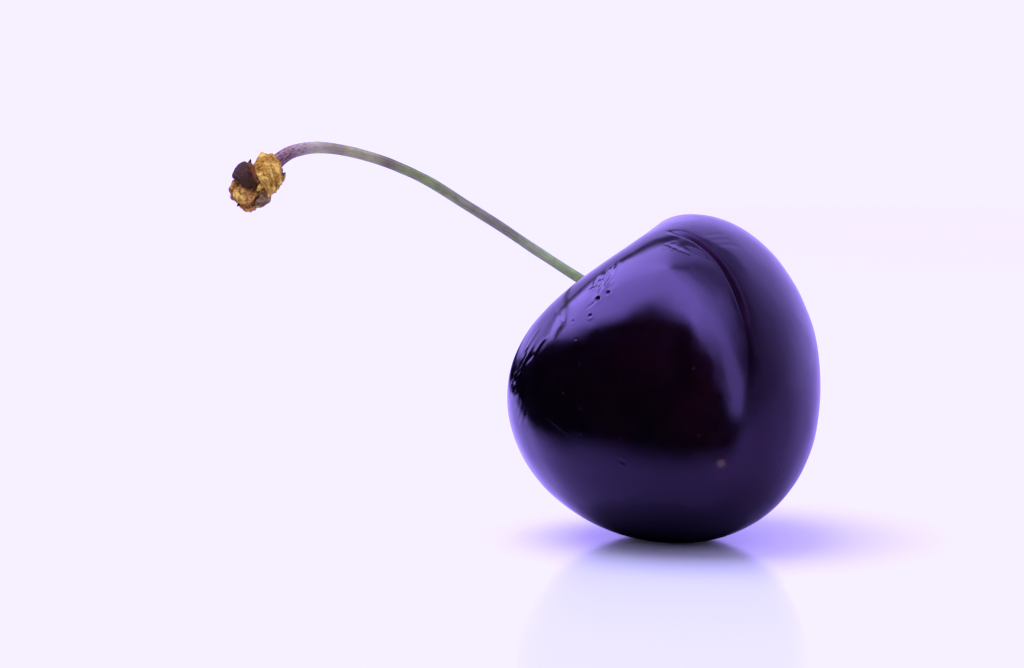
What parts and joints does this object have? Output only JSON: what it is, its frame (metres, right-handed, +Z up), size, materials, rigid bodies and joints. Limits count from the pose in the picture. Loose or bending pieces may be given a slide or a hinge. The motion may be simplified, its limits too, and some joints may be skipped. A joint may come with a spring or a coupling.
{
  "type": "sweet cherry",
  "caption": "Ripe dark sweet cherry lying on its blossom end, with a long arched stem that ends in a knob of dry bud scales.",
  "frame": {"origin": "middle of the small flat spot that the fruit rests on, on the surface it rests on", "axes": "+Z up, -X towards the end of the stem, -Y towards the viewer who sees the suture side of the fruit"},
  "size_m": [0.0469, 0.0258, 0.0317],
  "materials": {
    "ripe_skin": "smooth waxy fruit skin, almost black with a maroon cast",
    "green_stem": "matt green stalk, turning mauve brown towards the knob",
    "spur_bark": "crumbly red-brown bark",
    "dark_scale": "smooth dark brown bud scale",
    "golden_scale": "dry golden bud scale with lengthwise creases",
    "grey_scale": "dull grey-brown bud scale"
  },
  "bodies": {
    "root": {"fruit": "ripe_skin", "pedicel": "green_stem", "spur_base": "spur_bark", "dark_bud_scale": "dark_scale", "golden_scale_front": "golden_scale", "golden_scale_back": "golden_scale", "lower_scale": "grey_scale", "golden_bud": "golden_scale"}
  },
  "joints": []
}
